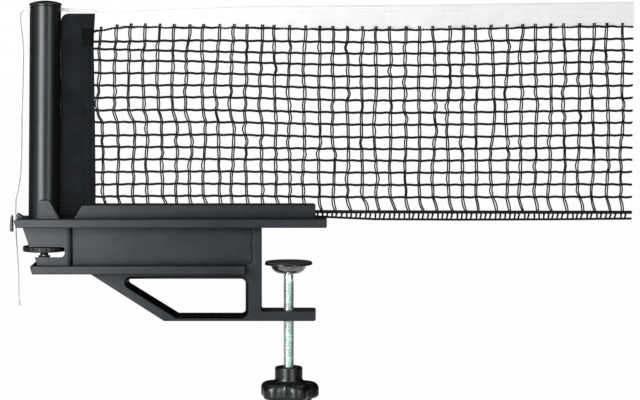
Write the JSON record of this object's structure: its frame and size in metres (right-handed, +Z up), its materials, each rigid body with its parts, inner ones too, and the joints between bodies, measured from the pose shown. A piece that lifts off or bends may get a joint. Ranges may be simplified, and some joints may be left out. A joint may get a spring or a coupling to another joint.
{
  "type": "table tennis net clamp",
  "caption": "Bench clamp with a swivel-pad screw and star knob, carrying a height-adjusted tube post and a stretch of table tennis net with its tension cord.",
  "frame": {"origin": "the clamp screw's axis on the upper plate's underside, where the table top bears", "axes": "+X along the net towards the middle of the table, +Z up, -Y the front"},
  "size_m": [0.4283, 0.0401, 0.277],
  "materials": {
    "body": "satin charcoal moulding",
    "cleat": "satin dark grey",
    "tube": "gloss black enamel",
    "cap": "gloss black",
    "foot": "moulded",
    "rod": "fibreglass rod",
    "sleeve": "black twill, sewn",
    "mesh": "knitted black cord",
    "tape": "thin white cloth",
    "cord": "twisted white cord",
    "wheel": "black, notched rim",
    "steel": "zinc plated",
    "bush": "turned",
    "seat": "acetal",
    "knob": "satin black",
    "pad": "gloss black cup",
    "facing": "dark brown rubber"
  },
  "bodies": {
    "frame": {"clamp_body": "body", "arm_bush": "bush", "cord_cleat": "cleat"},
    "post": {"post_tube": "tube", "post_cap": "cap", "post_foot": "foot", "sleeve_rod": "rod", "net_sleeve": "sleeve", "net_mesh": "mesh", "net_tape": "tape", "net_hem": "mesh", "cord_bridge": "cord", "tension_cord": "cord", "cord_knot": "cord"},
    "adjuster": {"thumbwheel": "wheel", "height_screw": "steel"},
    "seat": {"swivel_seat": "seat"},
    "screw": {"clamp_screw": "steel", "star_knob": "knob", "knob_nut": "steel"},
    "pad": {"pad_cup": "pad", "pad_facing": "facing", "pad_retainer": "steel"}
  },
  "joints": [
    {"name": "post_lift", "type": "slide", "parent": "frame", "child": "post", "axis": [0, 0, 1], "range_m": [0, 0.006]},
    {"name": "wheel_turn", "type": "hinge", "parent": "frame", "child": "adjuster", "pos_m": [-0.1683, 0, -0.0157], "axis": [0, 0, 1], "range_deg": [-2701, 0]},
    {"name": "clamp_travel", "type": "slide", "parent": "frame", "child": "seat", "axis": [0, 0, 1], "range_m": [-0.0243, 0.0232]},
    {"name": "screw_turn", "type": "hinge", "parent": "seat", "child": "screw", "pos_m": [0, 0, -0.0292], "axis": [0, 0, 1], "range_deg": [-8749, 8353]},
    {"name": "pad_tilt", "type": "hinge", "parent": "seat", "child": "pad", "pos_m": [0, 0, -0.0292], "axis": [0, 1, 0], "range_deg": [-4, 4]}
  ],
  "couplings": [
    {"joint": "wheel_turn", "follows": "post_lift", "rad_per_m": -7854},
    {"joint": "screw_turn", "follows": "clamp_travel", "rad_per_m": 6283.2}
  ]
}
